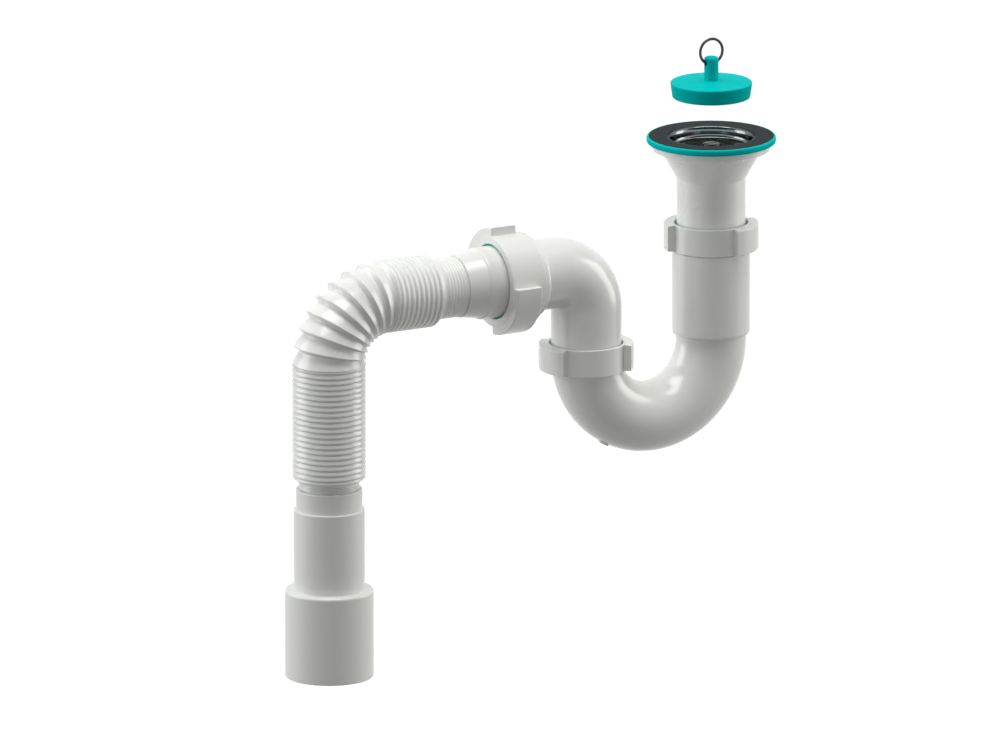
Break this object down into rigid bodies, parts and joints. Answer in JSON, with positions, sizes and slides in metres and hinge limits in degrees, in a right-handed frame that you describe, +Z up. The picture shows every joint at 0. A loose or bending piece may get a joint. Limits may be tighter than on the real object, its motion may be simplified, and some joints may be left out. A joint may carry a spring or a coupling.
{
  "type": "waste trap",
  "caption": "Tubular U-bend sink trap with a strainer waste, lift-out plug, lugged union nuts, outlet elbow and an extensible corrugated hose with a stepped drain tail.",
  "frame": {"origin": "on the waste's axis, level with the underside of the strainer's seal, where the sink bears", "axes": "+Z up along the tailpipe, -X towards the outlet and hose, Y across the plane of the pipes"},
  "size_m": [0.3088, 0.073, 0.3395],
  "materials": {
    "white_plastic": "glossy moulded polypropylene",
    "teal_rubber": "satin moulded rubber",
    "strainer_metal": "dark polished stainless steel",
    "steel": "bright drawn wire and turned steel",
    "brass": "turned brass"
  },
  "bodies": {
    "waste": {"waste_body": "white_plastic", "strainer_flange": "strainer_metal", "flange_seal": "teal_rubber", "waste_screw": "steel", "screw_insert": "brass"},
    "plug": {"plug": "teal_rubber"},
    "ring": {"plug_ring": "steel"},
    "inlet_grip": {"inlet_seal": "teal_rubber"},
    "trap": {"u_bend": "white_plastic"},
    "inlet_nut": {"inlet_nut": "white_plastic"},
    "outlet_nut": {"outlet_nut": "white_plastic"},
    "elbow": {"outlet_elbow": "white_plastic", "outlet_seal": "teal_rubber"},
    "hose_nut": {"hose_nut": "white_plastic"},
    "nozzle": {"hose_nozzle": "white_plastic", "hose_seal": "teal_rubber"},
    "hose": {"corrugated_hose": "white_plastic"},
    "tail": {"tail_spigot": "white_plastic"}
  },
  "joints": [
    {"name": "plug_lift", "type": "slide", "parent": "waste", "child": "plug", "axis": [0, 0, 1], "range_m": [-0.0264, 0]},
    {"name": "ring_swing", "type": "hinge", "parent": "plug", "child": "ring", "pos_m": [0, 0, 0.04585], "axis": [1, 0, 0], "range_deg": [-110, 110]},
    {"name": "trap_height", "type": "slide", "parent": "waste", "child": "inlet_grip", "axis": [0, 0, 1], "range_m": [-0.03, 0.02]},
    {"name": "trap_swivel", "type": "hinge", "parent": "inlet_grip", "child": "trap", "pos_m": [0, 0, -0.0514], "axis": [0, 0, 1], "continuous": true},
    {"name": "inlet_nut_turn", "type": "hinge", "parent": "trap", "child": "inlet_nut", "pos_m": [0, 0, -0.054], "axis": [0, 0, 1], "range_deg": [0, 450]},
    {"name": "outlet_nut_turn", "type": "hinge", "parent": "trap", "child": "outlet_nut", "pos_m": [-0.0811, 0, -0.114], "axis": [0, 0, 1], "range_deg": [0, 450]},
    {"name": "elbow_swivel", "type": "hinge", "parent": "trap", "child": "elbow", "pos_m": [-0.0811, 0, -0.0985], "axis": [0, 0, 1], "range_deg": [-130, 130]},
    {"name": "hose_nut_turn", "type": "hinge", "parent": "elbow", "child": "hose_nut", "pos_m": [-0.132, 0, -0.06375], "axis": [-1, 0, 0], "range_deg": [0, 450]},
    {"name": "hose_swivel", "type": "hinge", "parent": "elbow", "child": "nozzle", "pos_m": [-0.132, 0, -0.06375], "axis": [-1, 0, 0], "continuous": true},
    {"name": "hose_bend", "type": "hinge", "parent": "nozzle", "child": "hose", "pos_m": [-0.21259, 0, -0.09835], "axis": [0, 1, 0], "range_deg": [-25, 25], "deforming": ["corrugated_hose"]},
    {"name": "hose_stretch", "type": "slide", "parent": "hose", "child": "tail", "axis": [0, 0, -1], "range_m": [0, 0.065], "deforming": ["corrugated_hose"]}
  ]
}
